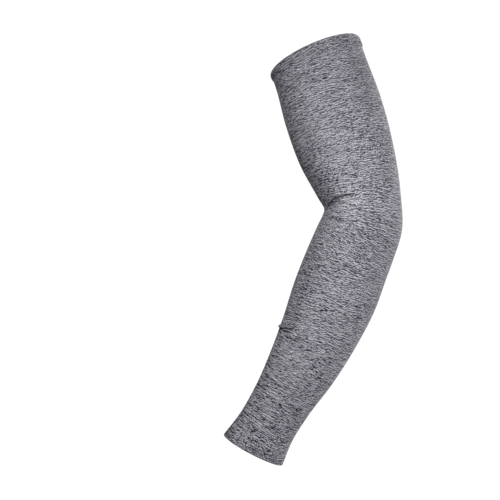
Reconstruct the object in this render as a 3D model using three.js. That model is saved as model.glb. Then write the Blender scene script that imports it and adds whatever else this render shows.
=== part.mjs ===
// Compression arm sleeve: a knitted tube shaped to a slightly bent arm, with a folded hem at each open end.
// Millimetres. +Z is up, +X points out past the point of the elbow and +Y to the far side of the arm.
// The origin is the middle of the upper-arm opening, level with the top of its hem.
import * as THREE from "three";
import { LoftGeometry } from "three/addons/geometries/LoftGeometry.js";

// Driving dimensions
const WALL = 1.2; // thickness of the knit
const SEAT_GAP = 0.3; // clearance between a hem and the edge of the tube that it finishes
const FACETS_AROUND = 36;

// The upper hem is a band folded over the edge of the tube, so it stands proud of the knit.
const UPPER_HEM = { height: 11, leg: 0.8, top: 1.2 };
// The wrist hem is turned in: a lip that carries on the outside of the knit, and a leg behind it.
const WRIST_HEM = { lip: 4, height: 9, leg: 0.8 };

// Sections of the outside of the knit, from the upper-arm rim down to the wrist rim.
// x, y, z: middle of the section. tilt: degrees that its elbow side is raised.
// width, depth: half sizes across the bend of the arm and through it.
const SECTIONS = [
  { at: "upper rim", x: 0, y: 0, z: 0, tilt: 22.5, width: 45, depth: 43.5 },
  { at: "under the hem", x: 5, y: -2.6, z: -14.7, tilt: 20.5, width: 44.9, depth: 43 },
  { at: "biceps", x: 16.8, y: -9, z: -53.2, tilt: 17.5, width: 46.6, depth: 43.5 },
  { at: "low biceps", x: 27.8, y: -15, z: -89.2, tilt: 19, width: 45, depth: 42 },
  { at: "above the elbow", x: 39.3, y: -20.5, z: -123.7, tilt: 16, width: 39.2, depth: 38.5 },
  { at: "crook", x: 43.5, y: -23, z: -141.7, tilt: 6, width: 36, depth: 37 },
  { at: "elbow point", x: 42.7, y: -24.5, z: -159.2, tilt: -10.5, width: 37.6, depth: 37 },
  { at: "below the elbow", x: 36.7, y: -25, z: -176.2, tilt: -21.5, width: 38.5, depth: 37.5 },
  { at: "high forearm", x: 28.7, y: -25, z: -196.2, tilt: -22, width: 39.2, depth: 37.5 },
  { at: "forearm", x: 16.9, y: -25, z: -227.2, tilt: -21, width: 39.6, depth: 36.5 },
  { at: "low forearm", x: 3.1, y: -25, z: -259.7, tilt: -24.5, width: 36.5, depth: 33.5 },
  { at: "above the wrist", x: -13.1, y: -25, z: -292.2, tilt: -28, width: 32.6, depth: 29.5 },
  { at: "wrist", x: -31.6, y: -25, z: -323.7, tilt: -29.5, width: 28.2, depth: 26 },
  { at: "cuff", x: -46.8, y: -24.5, z: -349.2, tilt: -28, width: 27.6, depth: 26 },
  { at: "wrist rim", x: -58.8, y: -24, z: -370, tilt: -27, width: 30.9, depth: 29 },
];

// Folds in the knit. down: mm along the middle of the sleeve.
// around: degrees from the elbow side, with the crook at 180 and the near side at 270.
// reach: degrees to each end of the fold. rise: mm that its ends lie above its middle.
// breadth: half breadth in mm. depth: mm pressed in, or out where it is negative.
const FOLDS = [
  { at: "crook crease", down: 153, around: 180, reach: 92, rise: 8, breadth: 2.2, depth: 3 },
  { at: "bulge over the crook", down: 146, around: 180, reach: 75, rise: 7, breadth: 5, depth: -1.2 },
  { at: "bulge under the crook", down: 159, around: 180, reach: 70, rise: 5, breadth: 5, depth: -0.8 },
  { at: "forearm tuck", down: 289, around: 185, reach: 34, rise: 3, breadth: 1.5, depth: -2.2 },
  { at: "groove under the tuck", down: 292, around: 200, reach: 48, rise: 4, breadth: 2.2, depth: 1.4 },
];

// Stations along the sleeve: a coarse step on plain knit, and shares of a fold's breadth where it crosses.
const COARSE_STEP = 11;
const FOLD_STEP = 0.8;
const FOLD_REACH = 1.6;

const KNIT_COLOUR = 0x87868c;
const HEM_COLOUR = 0x807f86;
const KNIT_ROUGHNESS = 0.92;

const middleLine = new THREE.CatmullRomCurve3(SECTIONS.map((s) => new THREE.Vector3(s.x, s.y, s.z)));
const sizeLine = new THREE.CatmullRomCurve3(SECTIONS.map((s) => new THREE.Vector3(s.tilt, s.width, s.depth)));
const LENGTH = middleLine.getLength();

// How far the folds press the knit in at a place on the sleeve.
function foldDepth(down, degrees) {
  let depth = 0;
  for (const fold of FOLDS) {
    const turn = THREE.MathUtils.euclideanModulo(degrees - fold.around + 180, 360) - 180;
    const share = Math.abs(turn) / fold.reach;
    if (share >= 1) continue;
    const fade = Math.cos((share * Math.PI) / 2) ** 2;
    const offset = (down - fold.down + fold.rise * share) / fold.breadth;
    depth += fold.depth * fade * Math.exp(-offset * offset);
  }
  return depth;
}

// One ring of points round the sleeve, offset out of the knit's outside by a distance.
function ring(down, offset) {
  const t = middleLine.getUtoTmapping(down / LENGTH);
  const middle = middleLine.getPoint(t);
  const size = sizeLine.getPoint(t);
  const tilt = THREE.MathUtils.degToRad(size.x);
  const across = new THREE.Vector3(Math.cos(tilt), 0, Math.sin(tilt));
  const through = new THREE.Vector3().crossVectors(across, middleLine.getTangent(t)).normalize();
  const points = [];
  for (let i = 0; i < FACETS_AROUND; i++) {
    const angle = (i / FACETS_AROUND) * 2 * Math.PI;
    const reach = new THREE.Vector2(size.y * Math.cos(angle), size.z * Math.sin(angle));
    const outward = new THREE.Vector2(Math.cos(angle) / size.y, Math.sin(angle) / size.z).normalize();
    reach.addScaledVector(outward, offset - foldDepth(down, THREE.MathUtils.radToDeg(angle)));
    points.push(middle.clone().addScaledVector(across, reach.x).addScaledVector(through, reach.y));
  }
  return points;
}

// A closed wall: the rings at these corners of its cut edge, up the outside and back down the inside.
function wall(corners) {
  const rings = corners.map(({ down, offset }) => ring(down, offset));
  return new LoftGeometry([...rings, rings[0]]);
}

// Distances down the sleeve of its rings, from one end of the tube to the other.
function stations(from, to) {
  const downs = [from];
  while (downs.at(-1) < to) {
    const here = downs.at(-1);
    const crossing = FOLDS.filter((fold) => {
      const reach = FOLD_REACH * fold.breadth;
      return here > fold.down - fold.rise - reach - COARSE_STEP / 2 && here < fold.down + reach;
    });
    downs.push(here + Math.min(COARSE_STEP, ...crossing.map((fold) => FOLD_STEP * fold.breadth)));
  }
  downs[downs.length - 1] = to;
  return downs;
}

function sleeveTube() {
  const downs = stations(UPPER_HEM.top + SEAT_GAP, LENGTH - WRIST_HEM.lip - SEAT_GAP);
  const inside = downs.map((down) => ({ down, offset: -WALL }));
  const outside = downs.map((down) => ({ down, offset: 0 })).reverse();
  return wall([...inside, ...outside]);
}

function upperHem() {
  const outside = SEAT_GAP + UPPER_HEM.leg;
  const inside = -WALL - outside;
  const round = UPPER_HEM.top / 2;
  return wall([
    { down: UPPER_HEM.height, offset: outside },
    { down: round, offset: outside },
    { down: 0, offset: outside - round },
    { down: 0, offset: inside + round },
    { down: round, offset: inside },
    { down: UPPER_HEM.height, offset: inside },
    { down: UPPER_HEM.height, offset: -WALL - SEAT_GAP },
    { down: UPPER_HEM.top, offset: -WALL - SEAT_GAP },
    { down: UPPER_HEM.top, offset: SEAT_GAP },
    { down: UPPER_HEM.height, offset: SEAT_GAP },
  ]);
}

function wristHem() {
  const inside = -WALL - SEAT_GAP - WRIST_HEM.leg;
  const round = WRIST_HEM.leg / 2;
  return wall([
    { down: LENGTH - WRIST_HEM.lip, offset: -WALL - SEAT_GAP },
    { down: LENGTH - WRIST_HEM.height, offset: -WALL - SEAT_GAP },
    { down: LENGTH - WRIST_HEM.height, offset: inside },
    { down: LENGTH - round, offset: inside },
    { down: LENGTH, offset: inside + round },
    { down: LENGTH, offset: -round },
    { down: LENGTH - round, offset: 0 },
    { down: LENGTH - WRIST_HEM.lip, offset: 0 },
  ]);
}

function piece(name, geometry, color) {
  const knit = new THREE.MeshStandardMaterial({ color, roughness: KNIT_ROUGHNESS, metalness: 0 });
  const mesh = new THREE.Mesh(geometry, knit);
  mesh.name = name;
  return mesh;
}

const sleeve = new THREE.Group();
sleeve.name = "compression_arm_sleeve";
sleeve.add(piece("sleeve_tube", sleeveTube(), KNIT_COLOUR));
sleeve.add(piece("upper_hem", upperHem(), HEM_COLOUR));
sleeve.add(piece("wrist_hem", wristHem(), HEM_COLOUR));

export default sleeve;
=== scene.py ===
import math

import bpy
import numpy as np
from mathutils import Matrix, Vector


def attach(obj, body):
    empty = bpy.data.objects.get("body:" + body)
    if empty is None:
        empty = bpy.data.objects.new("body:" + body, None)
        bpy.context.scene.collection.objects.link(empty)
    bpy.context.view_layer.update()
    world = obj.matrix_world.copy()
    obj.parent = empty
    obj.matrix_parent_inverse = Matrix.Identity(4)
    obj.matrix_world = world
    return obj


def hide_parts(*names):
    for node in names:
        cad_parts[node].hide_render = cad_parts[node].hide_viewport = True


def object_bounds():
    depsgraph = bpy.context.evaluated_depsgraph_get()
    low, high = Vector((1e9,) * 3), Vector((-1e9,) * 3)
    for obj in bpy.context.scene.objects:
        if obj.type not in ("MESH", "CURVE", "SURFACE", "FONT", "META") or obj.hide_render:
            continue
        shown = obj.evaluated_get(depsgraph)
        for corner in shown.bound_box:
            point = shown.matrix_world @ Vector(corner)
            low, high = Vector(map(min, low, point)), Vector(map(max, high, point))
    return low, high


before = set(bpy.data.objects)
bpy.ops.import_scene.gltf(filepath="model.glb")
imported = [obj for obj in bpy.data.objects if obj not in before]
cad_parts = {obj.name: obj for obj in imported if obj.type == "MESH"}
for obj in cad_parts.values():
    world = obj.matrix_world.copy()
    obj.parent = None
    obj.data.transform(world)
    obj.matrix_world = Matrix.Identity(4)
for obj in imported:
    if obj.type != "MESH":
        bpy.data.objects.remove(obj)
cadLow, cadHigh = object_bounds()
print("frame loaded:", ", ".join(sorted(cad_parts)))

mm = 0.001
turn = 2 * math.pi
mergeReach = 0.01 * mm  # corners nearer than this become one

# the form that the arm gives the knit: angles run from the elbow side, crook at 180, near side at 270
armForm = {
    "sections": [  # middle x, y, z in mm, degrees the elbow side is raised, half width, half depth
        (0, 0, 0, 22.5, 45, 43.5),  # upper rim
        (5, -2.6, -14.7, 20.5, 44.9, 43),  # under the hem
        (16.8, -9, -53.2, 17.5, 46.6, 43.5),  # biceps
        (27.8, -15, -89.2, 19, 45, 42),  # low biceps
        (39.3, -20.5, -123.7, 16, 39.2, 38.5),  # above the elbow
        (43.5, -23, -141.7, 6, 36, 37),  # crook
        (42.7, -24.5, -159.2, -10.5, 37.6, 37),  # elbow point
        (36.7, -25, -176.2, -21.5, 38.5, 37.5),  # below the elbow
        (28.7, -25, -196.2, -22, 39.2, 37.5),  # high forearm
        (16.9, -25, -227.2, -21, 39.6, 36.5),  # forearm
        (3.1, -25, -259.7, -24.5, 36.5, 33.5),  # low forearm
        (-13.1, -25, -292.2, -28, 32.6, 29.5),  # above the wrist
        (-31.6, -25, -323.7, -29.5, 28.2, 26),  # wrist
        (-46.8, -24.5, -349.2, -28, 27.6, 26),  # cuff
        (-58.8, -24, -370, -27, 30.9, 29),  # wrist rim
    ],
    "fineStep": 0.05,  # mm between the readings that measure the middle line
}

# folds in the knit: a groove along a line, and the cloth above it standing out
foldRows = [  # mm in, half breadth of the groove, mm out, its breadth, mm drawn down, share of painted shade in the fold, line
    (1.7, 0.95, 0.9, 2.5, 0.4, 1.0, "crookCrease"),
    (1.6, 0.6, 0.3, 1.5, 0.2, 0.8, "crookLine"),
    (1.6, 0.7, 0.3, 2.0, 0.0, 0.7, "lowCrookLine"),
    (4.0, 0.65, 3.4, 0.8, 0.6, 1.0, "forearmTuck"),
    (1.8, 0.8, 0.3, 1.5, 0.0, 0.7, "tuckLine"),
    (2.8, 0.65, 0.3, 2.0, 0.0, 1.0, "nearWrinkle"),
    (2.4, 0.65, 0.3, 2.0, 0.0, 1.0, "farWrinkle"),
    (0.9, 2.0, 0.3, 4.0, 0.0, 0.15, "slantingFold"),
    (0.7, 2.0, 0.3, 4.0, 0.0, 0.1, "bicepsFold"),
    (0.9, 2.5, 0.3, 5.0, 0.0, 0.1, "elbowFold"),
    (0.8, 2.0, 0.3, 4.0, 0.0, 0.1, "forearmFold"),
    (0.7, 0.9, 0.4, 1.5, 0.0, 0.25, "highPucker"),
    (0.7, 0.9, 0.4, 1.5, 0.0, 0.25, "middlePucker"),
    (0.7, 0.9, 0.4, 1.5, 0.0, 0.25, "lowPucker"),
]
foldLines = {  # degrees round, mm down the middle, share of the fold's depth
    "crookCrease": [
        (96, 147.8, 0), (118, 145.5, 0.5), (142, 144.5, 1), (156, 149, 0.9), (172, 153.5, 0.35),
        (186, 155.2, 0.3), (193, 154.5, 0.95), (199, 151.5, 1), (205, 148.2, 1), (211, 146.2, 1),
        (218, 144.7, 1), (226, 144, 0.95), (238, 143.7, 0.9), (248, 144.1, 0.95), (255, 144.9, 0.5),
        (264, 146.3, 0.15), (278, 147.6, 0),
    ],
    "crookLine": [(207, 149, 0), (213, 148.4, 0.8), (222, 147.9, 1), (231, 148.3, 0)],
    "lowCrookLine": [(206, 171.6, 0), (216, 171.8, 1), (234, 171.2, 0.8), (250, 170.4, 0)],
    "forearmTuck": [
        (150, 282, 0), (172, 287.4, 0.6), (184, 288.6, 1), (192, 288.6, 1), (202, 287.3, 0.8),
        (210, 286, 0.65), (219, 284.4, 0.5), (228, 282.8, 0.25), (238, 282, 0),
    ],
    "tuckLine": [(202, 289.5, 0), (209, 289, 1), (222, 287.9, 0.8), (230, 287.3, 0)],
    "nearWrinkle": [(208, 292.5, 0), (216, 293.4, 1), (228, 292.5, 0.8), (236, 291, 0)],
    "farWrinkle": [(231, 289.8, 0), (238, 289.4, 1), (245, 289, 0.7), (251, 288.8, 0)],
    "slantingFold": [(182, 323.5, 0), (195, 324.8, 1), (215, 327, 0.9), (236, 330, 0)],
    "bicepsFold": [(214, 70.5, 0), (224, 71.8, 1), (236, 73.8, 0.8), (248, 75.5, 0)],
    "elbowFold": [(272, 180.5, 0), (284, 178.8, 1), (304, 175.6, 0.9), (320, 173, 0)],
    "forearmFold": [(208, 219.5, 0), (217, 217.3, 1), (230, 214.5, 0.9), (242, 212, 0)],
    "highPucker": [(176, 327.5, 0), (188, 327.5, 1), (200, 327.5, 0)],
    "middlePucker": [(176, 366.5, 0), (188, 366.5, 1), (200, 366.5, 0)],
    "lowPucker": [(176, 379, 0), (188, 379, 1), (200, 379, 0)],
}
foldShape = {
    "thinnest": 0.4,  # share of a groove's breadth that is left where it runs out
    "ridge": 1.3,  # half breadths from the groove up to the cloth that stands out
    "fullLipShade": 4,  # mm out at which that cloth gets the full painted shade too
}
armSwells = [  # mm out, mm down the middle, half length, degrees round, half reach
    (2.7, 124, 34, 233, 24),  # biceps over the crook
    (1.8, 192, 20, 216, 18),  # forearm under it
]
toneAndShadeAreas = [  # lighter or darker knit, partly its own tone and partly painted shade: more light yarn, mm down the middle, half length, degrees round, half reach
    (0.038, 150, 18, 246, 18),  # lighter in front of the crook
    (-0.02, 128, 22, 232, 13),  # painted shade above it
    (-0.034, 189, 24, 281, 19),  # darker under the elbow
    (-0.02, 245, 42, 223, 9),  # darker along the forearm
    (0.012, 332, 50, 240, 18),  # lighter along the wrist
    (-0.018, 365, 62, 300, 34),  # darker on its outer side
    (0.02, 86, 45, 250, 14),  # lighter along the biceps
    (-0.018, 98, 52, 191, 17),  # painted shade down the crook side
    (0.014, 205, 60, 193, 15),  # lighter again below the crook
    (-0.015, 375, 40, 193, 16),  # painted shade at the wrist, on the crook side
    (-0.1, 0, 2.2, 230, 48),  # painted shade along the hem's top edge
]
rowFan = {"down": 125, "breadth": 40, "droop": 12}  # mm
followedFolds = {  # mm down the middle, mm over which rings bend to the fold's line
    "crookCrease": (148, 32),
    "forearmTuck": (285, 32),
}


def smoothRows(stops, rows, places):  # a smooth line through every row of a table
    gaps = np.diff(stops)[:, None]
    slopes = np.diff(rows, axis=0) / gaps
    lean = np.vstack([slopes[:1], slopes[:1], slopes[1:]])
    lean[1:-1] = (slopes[:-1] * gaps[1:] + slopes[1:] * gaps[:-1]) / (gaps[1:] + gaps[:-1])
    span = np.clip(np.searchsorted(stops, places, side="right") - 1, 0, len(stops) - 2)
    gap = gaps[span]
    t = (places - stops[span])[:, None] / gap
    start = rows[span] * (1 + 2 * t) * (1 - t) ** 2 + lean[span] * gap * t * (1 - t) ** 2
    end = rows[span + 1] * (3 - 2 * t) * t ** 2 - lean[span + 1] * gap * (1 - t) * t ** 2
    return start + end


def readForm(form):  # the sections at even steps along the middle line, with the line's direction
    rows = np.array(form["sections"], float)
    stops = np.concatenate([[0], np.cumsum(np.linalg.norm(np.diff(rows[:, :3], axis=0), axis=1))])
    fine = smoothRows(stops, rows, np.arange(0, stops[-1], form["fineStep"]))
    steps = np.linalg.norm(np.diff(fine[:, :3], axis=0), axis=1)
    downs = np.concatenate([[0], np.cumsum(steps)])
    ways = np.gradient(fine[:, :3], downs, axis=0)
    return downs, np.hstack([fine, ways])


formDowns, formRows = readForm(armForm)
sleeveLength = formDowns[-1]


def readLine(name, angle):  # mm down the middle and share of depth, where a fold's line crosses each angle
    rows = np.array(foldLines[name], float)
    places = np.clip(np.degrees(angle) % 360, rows[0, 0], rows[-1, 0])
    down, share = smoothRows(rows[:, 0], rows[:, 1:], places).T
    return down, np.clip(share, 0, 1)


def followFolds(down, angle):  # rings that lie straight round the arm, bent to the lines of the sharp folds
    shift = np.zeros_like(down)
    for name, (home, spread) in followedFolds.items():
        line = readLine(name, angle)[0]
        shift += (line - home) * np.clip(1 - ((down - home) / spread) ** 2, 0, 1) ** 2
    return down + shift


def softAreas(rows, down, angle):  # the sum of soft areas on the sleeve
    total = np.zeros_like(down)
    for amount, middle, length, turned, reach in rows:
        degrees = (np.degrees(angle) - turned + 180) % 360 - 180
        total += amount * np.exp(-(((down - middle) / length) ** 2) - (degrees / reach) ** 2)
    return total


def foldShift(down, angle):  # mm that the folds press the knit in and draw it down, and how much painted shade they get
    thinnest = foldShape["thinnest"]
    press = np.zeros_like(down)
    draw = np.zeros_like(down)
    paintedShade = np.zeros_like(down)
    for dip, breadth, lip, lipBreadth, drawn, shadeShare, name in foldRows:
        line, share = readLine(name, angle)
        below = down - line
        groove = breadth * (thinnest + (1 - thinnest) * share ** 2)
        ridge = below + foldShape["ridge"] * groove
        lifted = np.exp(-((ridge / lipBreadth) ** 2)) * (0.5 - 0.5 * np.tanh(ridge / groove)) * share
        sunk = np.exp(-((below / groove) ** 2)) * share
        press += dip * sunk - lip * lifted
        draw += drawn * lifted
        # painted shade: dark in the grooves and under the cloth that stands out over them
        lipShade = min(1, lip / foldShape["fullLipShade"]) ** 2
        paintedShade = np.maximum(paintedShade, np.maximum(sunk * shadeShare, lifted * lipShade))
    return press - softAreas(armSwells, down, angle), draw, paintedShade


def knitPoints(down, angle, offset):  # places on the sleeve, offset out of the knit's outside
    press, draw = foldShift(down, angle)[:2]
    reading = np.stack([np.interp(down + draw, formDowns, column) for column in formRows.T], axis=1)
    middle, tilt, way = reading[:, :3], np.radians(reading[:, 3]), reading[:, 6:]
    width, depth = reading[:, 4], reading[:, 5]
    across = np.stack([np.cos(tilt), np.zeros_like(tilt), np.sin(tilt)], axis=1)
    through = np.cross(across, way)
    through /= np.linalg.norm(through, axis=1)[:, None]
    outward = np.stack([np.cos(angle) / width, np.sin(angle) / depth], axis=1)
    outward *= ((offset - press) / np.linalg.norm(outward, axis=1))[:, None]
    reachAcross = (width * np.cos(angle) + outward[:, 0])[:, None]
    reachThrough = (depth * np.sin(angle) + outward[:, 1])[:, None]
    return (middle + across * reachAcross + through * reachThrough) * mm


def fannedRows(down, angle):  # mm that rows droop on the elbow side, where they fan out
    return rowFan["droop"] * np.exp(-(((down - rowFan["down"]) / rowFan["breadth"]) ** 2)) * np.cos(angle)


def rollSheet(name, path, around, reach=np.ones_like):  # a flat sheet of knit, rolled round the arm
    bpy.ops.object.select_all(action="DESELECT")
    bpy.ops.mesh.primitive_grid_add(x_subdivisions=around, y_subdivisions=len(path) - 1, size=2)
    piece = bpy.context.object
    piece.name = name
    mesh = piece.data
    flat = np.empty(len(mesh.vertices) * 3)
    mesh.vertices.foreach_get("co", flat)
    flat = (flat.reshape(-1, 3) + 1) / 2
    down, offset, along = np.array(path)[np.rint(flat[:, 1] * (len(path) - 1)).astype(int)].T
    angle = flat[:, 0] * turn
    bent = followFolds(down * reach(angle), angle)
    along = along * reach(angle) + bent - down * reach(angle) - fannedRows(bent, angle)
    mesh.vertices.foreach_set("co", knitPoints(bent, angle, offset).ravel())
    width, depth = (np.interp(bent, formDowns, column) for column in formRows.T[4:6])
    girth = turn * np.hypot(width, depth) / math.sqrt(2)
    readings = {
        "foldPaintedShade": foldShift(bent, angle)[2],
        "knitGirth": girth,
        "knitToneAndShade": softAreas(toneAndShadeAreas, bent, angle),
    }
    for label, values in readings.items():
        mesh.attributes.new(label, "FLOAT", "POINT").data.foreach_set("value", values)
    corners = np.empty(len(mesh.loops), int)
    mesh.loops.foreach_get("vertex_index", corners)
    rows = np.stack([flat[corners, 0], along[corners] / sleeveLength], axis=1)
    mesh.uv_layers[0].name = "knitRows"
    mesh.uv_layers[0].data.foreach_set("uv", rows.ravel())
    bpy.ops.object.mode_set(mode="EDIT")
    bpy.ops.mesh.select_all(action="SELECT")
    bpy.ops.mesh.remove_doubles(threshold=mergeReach)
    bpy.ops.mesh.normals_make_consistent(inside=False)
    bpy.ops.object.mode_set(mode="OBJECT")
    return piece


def thicken(piece, thickness):
    bpy.context.view_layer.objects.active = piece
    wall = piece.modifiers.new("knitWall", "SOLIDIFY")
    wall.thickness = thickness * mm
    wall.offset = -1
    bpy.ops.object.modifier_apply(modifier=wall.name)
    bpy.ops.object.shade_smooth()
    print(piece.name, "faces:", len(piece.data.polygons))


def arcPath(middle, radius, start, end, steps):  # points of an arc, as down and offset
    angles = np.radians(np.linspace(start, end, steps))
    return [(middle[0] - radius * math.sin(a), middle[1] + radius * math.cos(a)) for a in angles]


def withDistance(path):  # adds the distance along the path to each of its points
    steps = np.linalg.norm(np.diff(np.array(path), axis=0), axis=1)
    return np.hstack([path, np.concatenate([[0], np.cumsum(steps)])[:, None]])


# camera at the photo's viewing angle
cameraView = {
    "place": (-61.5, -1225, -183.9),  # mm
    "focal": 1290.3,  # pixels
    "image": 500,  # pixels across
    "sensor": 36,  # mm
    "nearest": 0.05,  # m
}
bpy.ops.object.camera_add(location=[c * mm for c in cameraView["place"]], rotation=(math.radians(90), 0, 0))
camera = bpy.context.object
camera.data.sensor_width = cameraView["sensor"]
camera.data.lens = cameraView["sensor"] * cameraView["focal"] / cameraView["image"]
camera.data.clip_start = cameraView["nearest"]
bpy.context.scene.camera = camera
print("camera set")

# knitted tube
knitTube = {
    "wall": 1.2,  # mm
    "around": 136,  # faces
    "top": 1.5,  # mm under the fold of the upper hem
    "foot": 4.3,  # mm above the wrist rim
    "step": 1.42,  # mm
    "foldZones": [  # mm down the middle, closer step
        (145.5, 153.5, 0.3),
        (147, 149, 0.14),
        (281, 290, 0.35),
        (283.4, 286.4, 0.16),
        (290, 297, 0.6),
    ],
}


def tubeStations(tube):
    downs = [tube["top"]]
    while downs[-1] < sleeveLength - tube["foot"]:
        closer = [fine for low, high, fine in tube["foldZones"] if low < downs[-1] < high]
        downs.append(downs[-1] + min([tube["step"]] + closer))
    downs[-1] = sleeveLength - tube["foot"]
    return downs


sleeveKnit = rollSheet("sleeve_knit", [(d, 0, d) for d in tubeStations(knitTube)], knitTube["around"])
thicken(sleeveKnit, knitTube["wall"])

# upper hem, a band folded over the tube's edge
upperHem = {
    "height": 11,  # mm
    "elbowShare": 0.7,  # of the height that shows on the elbow side
    "crookShare": 0.42,
    "wall": 0.8,  # mm
    "gap": 0.3,  # mm, to the tube on both sides
    "fold": 5,  # mm that the rounding at the top takes
    "around": 128,
    "legSteps": 7,
    "roundSteps": 13,
}


def upperHemPath(hem):
    outside = hem["gap"] + hem["wall"]
    inside = -knitTube["wall"] - outside
    half = (outside - inside) / 2
    legs = np.linspace(hem["height"], hem["fold"], hem["legSteps"])
    up = [(d, outside) for d in legs[:-1]]
    rounding = arcPath((half, inside + half), half, 0, 180, hem["roundSteps"])
    over = [(d * hem["fold"] / half, o) for d, o in rounding]
    back = [(d, inside) for d in legs[-2::-1]]
    return withDistance(up + over + back)


def upperHemReach(angle):  # share of the hem's height that shows, from the elbow side round to the crook
    middle = (upperHem["elbowShare"] + upperHem["crookShare"]) / 2
    return middle + (upperHem["elbowShare"] - middle) * np.cos(angle)


upperBand = rollSheet("upper_hem_band", upperHemPath(upperHem), upperHem["around"], upperHemReach)
thicken(upperBand, upperHem["wall"])

# wrist hem, turned in behind the knit
wristHem = {"lip": 4, "height": 9, "wall": 0.8, "gap": 0.3, "around": 128, "legSteps": 6, "roundSteps": 9}


def wristHemPath(hem):
    inside = -knitTube["wall"] - hem["gap"] - hem["wall"]
    radius = -inside / 2
    rim = sleeveLength - radius
    front = [(d, 0) for d in np.linspace(sleeveLength - hem["lip"], rim, hem["legSteps"])[:-1]]
    over = [(2 * rim - d, o) for d, o in arcPath((rim, -radius), radius, 0, 180, hem["roundSteps"])]
    back = [(d, inside) for d in np.linspace(rim, sleeveLength - hem["height"], hem["legSteps"])[1:]]
    return withDistance(front + over + back)


wristBand = rollSheet("wrist_hem_band", wristHemPath(wristHem), wristHem["around"])
thicken(wristBand, wristHem["wall"])


def linkNodes(tree, *pairs):
    for source, target in pairs:
        tree.links.new(source, target)


def feedSocket(tree, socket, value):  # links another socket to it, or sets a plain number
    if isinstance(value, bpy.types.NodeSocket):
        tree.links.new(value, socket)
    elif value is not None:
        socket.default_value = value


def newMath(tree, operation, first, second=None):
    node = tree.nodes.new("ShaderNodeMath")
    node.operation = operation
    feedSocket(tree, node.inputs[0], first)
    feedSocket(tree, node.inputs[1], second)
    return node.outputs[0]


def plus(tree, first, second):
    return newMath(tree, "ADD", first, second)


def minus(tree, first, second):
    return newMath(tree, "SUBTRACT", first, second)


def times(tree, first, second):
    return newMath(tree, "MULTIPLY", first, second)


def divide(tree, first, second):
    return newMath(tree, "DIVIDE", first, second)


def newPlace(tree, *parts):
    node = tree.nodes.new("ShaderNodeCombineXYZ")
    for socket, part in zip(node.inputs, parts):
        feedSocket(tree, socket, part)
    return node.outputs[0]


def newNoise(tree, place, grain, detail):  # noise with its grain in mm along x, y and z
    scale = tree.nodes.new("ShaderNodeVectorMath")
    scale.operation = "DIVIDE"
    scale.inputs[1].default_value = grain
    texture = tree.nodes.new("ShaderNodeTexNoise")
    texture.inputs["Scale"].default_value = 1
    texture.inputs["Detail"].default_value = detail
    linkNodes(tree, (place, scale.inputs[0]), (scale.outputs[0], texture.inputs["Vector"]))
    return texture.outputs[0]


def newWhite(tree, dimensions, socketName, place):  # a number of its own for each place
    texture = tree.nodes.new("ShaderNodeTexWhiteNoise")
    texture.noise_dimensions = dimensions
    tree.links.new(place, texture.inputs[socketName])
    return texture.outputs["Value"]


def mixColours(tree, factor, first, second):
    node = tree.nodes.new("ShaderNodeMix")
    node.data_type = "RGBA"
    for index, value in ((0, factor), (6, first), (7, second)):  # where a colour mix has these sockets
        feedSocket(tree, node.inputs[index], value)
    return node.outputs[2]


# heather knit, shared by the tube and its hems
heatherKnit = {
    "girthRadius": 40,  # mm, the straight tube that the pattern is laid on
    "stitch": 0.88,  # mm round the arm
    "rowHeight": 0.55,  # mm
    "wander": (22, 22, 14),  # mm, grain of the rows' sway
    "wanderReach": 2.4,  # mm
    "edge": (1.3, 1.3, 0.9),  # mm, grain of the stitches' uneven edges
    "edgeReach": 0.3,  # mm
    "neighbourShare": 0.3,  # that a stitch stands out against the rows above and below
    "crookLoose": 0.2,  # that this lessens toward the crook
    "runs": [(1, 0.25), (3, 0.2), (8, 0.15), (16, 0.0)],  # stitches in a run of one yarn, and its share
    "crookRun": 0.14,  # that the longest run gains toward the crook
    "crookCalm": 0.3,  # that the other runs lose there
    "wristRun": 0.08,  # that the longest run gains toward the wrist
    "wristFrom": (235, 50),  # mm down to where the wrist comes in, mm over which it does
    "stretched": 0.4,  # that the yarns even out over the elbow
    "bunched": 1.0,  # that they stand out toward the crook
    "gathered": 1.0,  # and toward the wrist
    "ground": 0.0305,  # that the dark yarn outweighs the light
    "crookShade": 0.002,  # more of it toward the crook, painted shade on that side
    "patch": (34, 34, 26),  # mm, grain of the soft clouds in the knit
    "patchShare": 0.2,
    "dimming": 1.6,  # power that evens out how the eye sees dark and light
    "paintedFoldShade": 0.94,  # share of dark yarn that paints shade into the folds
    "roughness": (0.78, 0.2),  # least, and how far it varies
    "streak": (5, 5, 0.8),  # mm, grain of that
    "reliefHeight": 0.8,  # mm
    "specular": 0.2,
    "sheen": (0.12, 0.5),  # weight, roughness
}


def runTone(tree, around, row, length):  # each run of stitches in a row has its own tone
    whole = newMath(tree, "FLOOR", row)
    shift = newWhite(tree, "1D", "W", whole)  # runs start anywhere along a row
    column = newMath(tree, "FLOOR", plus(tree, divide(tree, around, length), shift))
    tone = newWhite(tree, "3D", "Vector", newPlace(tree, column, whole, length))
    return minus(tree, tone, 0.5)


def yarnTone(tree, around, row, toCrook, toWrist, knit):  # runs of all lengths together
    apart = times(tree, minus(tree, times(tree, toCrook, knit["crookLoose"]), 1), knit["neighbourShare"])
    calmed = minus(tree, 1, times(tree, toCrook, knit["crookCalm"]))
    longest = knit["runs"][-1][0]
    yarn = 0.0
    for length, share in knit["runs"]:
        run = 0.0
        for step, part in ((0, 1), (1, apart), (-1, apart)):
            tone = runTone(tree, around, plus(tree, row, step), length)
            run = plus(tree, run, times(tree, tone, part))
        if length < longest:
            share = times(tree, calmed, share)
        else:  # the knit is bunched toward the crook and the wrist
            share = plus(tree, times(tree, toCrook, knit["crookRun"]), share)
            share = plus(tree, times(tree, toWrist, knit["wristRun"]), share)
        yarn = plus(tree, yarn, times(tree, run, share))
    return yarn


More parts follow.
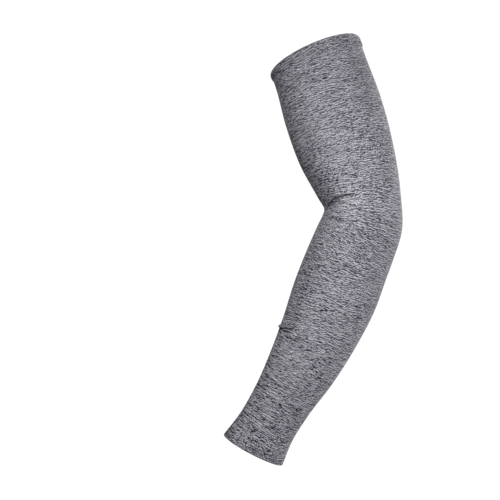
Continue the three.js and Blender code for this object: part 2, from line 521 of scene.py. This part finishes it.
def buildHeatherGroup(knit):
    tree = bpy.data.node_groups.new("heatherKnit", "ShaderNodeTree")
    for side, kind, names in (
        ("INPUT", "Vector", ["Rows"]),
        ("INPUT", "Color", ["Dark Yarn", "Light Yarn"]),
        ("INPUT", "Float", ["Contrast", "Painted Shade", "Girth", "Tone And Shade"]),
        ("OUTPUT", "Color", ["Color"]),
        ("OUTPUT", "Float", ["Roughness", "Height"]),
    ):
        for name in names:
            tree.interface.new_socket(name, in_out=side, socket_type="NodeSocket" + kind)
    start = tree.nodes.new("NodeGroupInput")
    end = tree.nodes.new("NodeGroupOutput")

    # the pattern's place on a straight tube, in mm
    split = tree.nodes.new("ShaderNodeSeparateXYZ")
    tree.links.new(start.outputs["Rows"], split.inputs[0])
    angle = times(tree, split.outputs["X"], turn)
    elbowward = newMath(tree, "COSINE", angle)
    ringX = times(tree, elbowward, knit["girthRadius"])
    ringY = times(tree, newMath(tree, "SINE", angle), knit["girthRadius"])
    along = times(tree, split.outputs["Y"], float(sleeveLength))
    tube = newPlace(tree, ringX, ringY, along)

    # rows that sway and have uneven edges, and the stitches along them
    sway = minus(tree, newNoise(tree, tube, knit["wander"], detail=2), 0.5)
    lifted = plus(tree, along, times(tree, sway, knit["wanderReach"]))
    rows = newPlace(tree, ringX, ringY, lifted)
    jitter = minus(tree, newNoise(tree, rows, knit["edge"], detail=0), 0.5)
    jagged = plus(tree, lifted, times(tree, jitter, knit["edgeReach"]))
    row = divide(tree, jagged, knit["rowHeight"])
    stitches = divide(tree, start.outputs["Girth"], knit["stitch"])
    around = times(tree, split.outputs["X"], stitches)

    # how far a place lies toward the crook and toward the wrist
    crookward = newMath(tree, "MAXIMUM", times(tree, elbowward, -1), 0)
    toCrook = times(tree, crookward, crookward)
    wristDown, wristLength = knit["wristFrom"]
    toWrist = divide(tree, minus(tree, along, wristDown), wristLength)
    toWrist = newMath(tree, "MINIMUM", newMath(tree, "MAXIMUM", toWrist, 0), 1)

    # the yarns stand out where the knit is bunched, and even out where it is stretched
    smoothed = times(tree, times(tree, elbowward, minus(tree, 1, toWrist)), knit["stretched"])
    evened = plus(tree, minus(tree, 1, smoothed), times(tree, toCrook, knit["bunched"]))
    gathered = plus(tree, times(tree, toWrist, knit["gathered"]), 1)
    contrast = times(tree, times(tree, start.outputs["Contrast"], evened), gathered)
    # painted shade: the ground gains dark yarn toward the crook
    ground = plus(tree, times(tree, crookward, knit["crookShade"]), knit["ground"])
    # the tone areas, partly painted shade, shift the share of dark yarn
    ground = minus(tree, ground, start.outputs["Tone And Shade"])
    yarn = yarnTone(tree, around, row, toCrook, toWrist, knit)
    shade = plus(tree, times(tree, minus(tree, yarn, ground), contrast), 0.5)
    cloud = minus(tree, newNoise(tree, tube, knit["patch"], detail=2), 0.5)
    shade = plus(tree, shade, times(tree, cloud, knit["patchShare"]))
    clampNode = tree.nodes.new("ShaderNodeClamp")
    tree.links.new(shade, clampNode.inputs[0])
    height = clampNode.outputs[0]

    lightness = newMath(tree, "POWER", height, knit["dimming"])
    colour = mixColours(tree, lightness, start.outputs["Dark Yarn"], start.outputs["Light Yarn"])
    # painted shade in the folds, drawn toward the dark yarn
    paintedFoldShade = times(tree, start.outputs["Painted Shade"], knit["paintedFoldShade"])
    colour = mixColours(tree, paintedFoldShade, colour, start.outputs["Dark Yarn"])
    smoothest, spread = knit["roughness"]
    rough = plus(tree, times(tree, newNoise(tree, rows, knit["streak"], detail=1), spread), smoothest)
    linkNodes(
        tree,
        (colour, end.inputs["Color"]),
        (rough, end.inputs["Roughness"]),
        (height, end.inputs["Height"]),
    )
    return tree


heatherGroup = buildHeatherGroup(heatherKnit)


def knitMaterial(name, dark, light, contrast, relief):
    material = bpy.data.materials.new(name)
    material.use_nodes = True
    tree = material.node_tree
    shader = tree.nodes["Principled BSDF"]
    knit = tree.nodes.new("ShaderNodeGroup")
    knit.node_tree = heatherGroup
    knit.inputs["Dark Yarn"].default_value = (*dark, 1)
    knit.inputs["Light Yarn"].default_value = (*light, 1)
    knit.inputs["Contrast"].default_value = contrast
    rows = tree.nodes.new("ShaderNodeUVMap")
    rows.uv_map = "knitRows"
    for label, socketName in (("foldPaintedShade", "Painted Shade"), ("knitGirth", "Girth"), ("knitToneAndShade", "Tone And Shade")):
        reading = tree.nodes.new("ShaderNodeAttribute")
        reading.attribute_name = label
        tree.links.new(reading.outputs["Fac"], knit.inputs[socketName])
    bump = tree.nodes.new("ShaderNodeBump")
    bump.inputs["Strength"].default_value = relief
    bump.inputs["Distance"].default_value = heatherKnit["reliefHeight"] * mm
    sheenWeight, sheenRoughness = heatherKnit["sheen"]
    shader.inputs["Specular IOR Level"].default_value = heatherKnit["specular"]
    shader.inputs["Sheen Weight"].default_value = sheenWeight
    shader.inputs["Sheen Roughness"].default_value = sheenRoughness
    linkNodes(
        tree,
        (rows.outputs[0], knit.inputs["Rows"]),
        (knit.outputs["Color"], shader.inputs["Base Color"]),
        (knit.outputs["Roughness"], shader.inputs["Roughness"]),
        (knit.outputs["Height"], bump.inputs["Height"]),
        (bump.outputs[0], shader.inputs["Normal"]),
    )
    return material


finishes = {  # dark yarn, light yarn, contrast, relief
    "sleeveKnit": ((0.024, 0.0225, 0.04), (0.8, 0.783, 0.835), 6.2, 0.1),
    "upperHemKnit": ((0.024, 0.0225, 0.04), (0.78, 0.763, 0.814), 6.2, 0.1),
    "wristHemKnit": ((0.024, 0.0225, 0.04), (0.78, 0.763, 0.814), 6.2, 0.1),
}
for piece, finish, slot, node in (
    (sleeveKnit, "sleeveKnit", "knit", "sleeve_tube"),
    (upperBand, "upperHemKnit", "upper_hem_knit", "upper_hem"),
    (wristBand, "wristHemKnit", "wrist_hem_knit", "wrist_hem"),
):
    piece.data.materials.append(knitMaterial(finish, *finishes[finish]))
    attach(piece, "root")
    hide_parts(node)
print("knit finished")

# studio: pale floor, white surround and soft lamps
studio = {
    "floorDrop": 0.5,  # m under the sleeve
    "floorSize": 8,  # m
    "floorPaint": (0.8, 0.8, 0.8, 1),
    "surround": 0.06,
    "surroundTint": (0.75, 0.8, 1, 1),
    "backdrop": 1.05,
    "lookAt": (0.03, -0.03, -0.16),  # m
    "lamps": [  # name, degrees round from the camera, degrees up, m away, m wide, m high, watts
        ("frontLamp", 12, 3, 0.42, 0.18, 0.3, 1.36),
        ("leftLamp", -66, 60, 1.5, 0.8, 0.8, 9.6),
        ("rimLamp", 132, 15, 1.5, 0.8, 0.8, 19),
    ],
}


def showToCamera(tree, lighting, shown, output):  # one shader lights, the other shows
    ray = tree.nodes.new("ShaderNodeLightPath")
    mix = tree.nodes.new("ShaderNodeMixShader")
    linkNodes(
        tree,
        (ray.outputs["Is Camera Ray"], mix.inputs[0]),
        (lighting.outputs[0], mix.inputs[1]),
        (shown.outputs[0], mix.inputs[2]),
        (mix.outputs[0], tree.nodes[output].inputs["Surface"]),
    )


bpy.ops.object.select_all(action="DESELECT")
floorHeight = cadLow.z - studio["floorDrop"]
bpy.ops.mesh.primitive_plane_add(size=studio["floorSize"], location=(0, 0, floorHeight))
floor = bpy.context.object
floor.name = "paleFloor"
floorPaint = bpy.data.materials.new("palePaint")
floorPaint.use_nodes = True
paint = floorPaint.node_tree
floorShader = paint.nodes["Principled BSDF"]
floorShader.inputs["Base Color"].default_value = studio["floorPaint"]
floorGlow = paint.nodes.new("ShaderNodeEmission")  # as bright as the backdrop, so that no edge shows
floorGlow.inputs["Strength"].default_value = studio["backdrop"]
showToCamera(paint, floorShader, floorGlow, "Material Output")
floor.data.materials.append(floorPaint)

world = bpy.data.worlds.new("whiteSurround")
bpy.context.scene.world = world
world.use_nodes = True
sky = world.node_tree
skyLight = sky.nodes["Background"]
skyLight.inputs["Color"].default_value = studio["surroundTint"]
skyLight.inputs["Strength"].default_value = studio["surround"]
skyView = sky.nodes.new("ShaderNodeBackground")
skyView.inputs["Color"].default_value = (1, 1, 1, 1)
skyView.inputs["Strength"].default_value = studio["backdrop"]
showToCamera(sky, skyLight, skyView, "World Output")
for name, bearing, up, distance, width, height, watts in studio["lamps"]:
    flatWay = math.cos(math.radians(up))
    way = Vector((
        math.sin(math.radians(bearing)) * flatWay,
        -math.cos(math.radians(bearing)) * flatWay,
        math.sin(math.radians(up)),
    ))
    bpy.ops.object.light_add(type="AREA", location=Vector(studio["lookAt"]) + way * distance)
    lamp = bpy.context.object
    lamp.name = name
    lamp.data.shape = "RECTANGLE"
    lamp.data.size = width
    lamp.data.size_y = height
    lamp.data.energy = watts
    lamp.visible_camera = False
    lamp.rotation_euler = (-way).to_track_quat("-Z", "Y").to_euler()
bpy.context.scene.view_settings.view_transform = "Standard"
print("studio set")
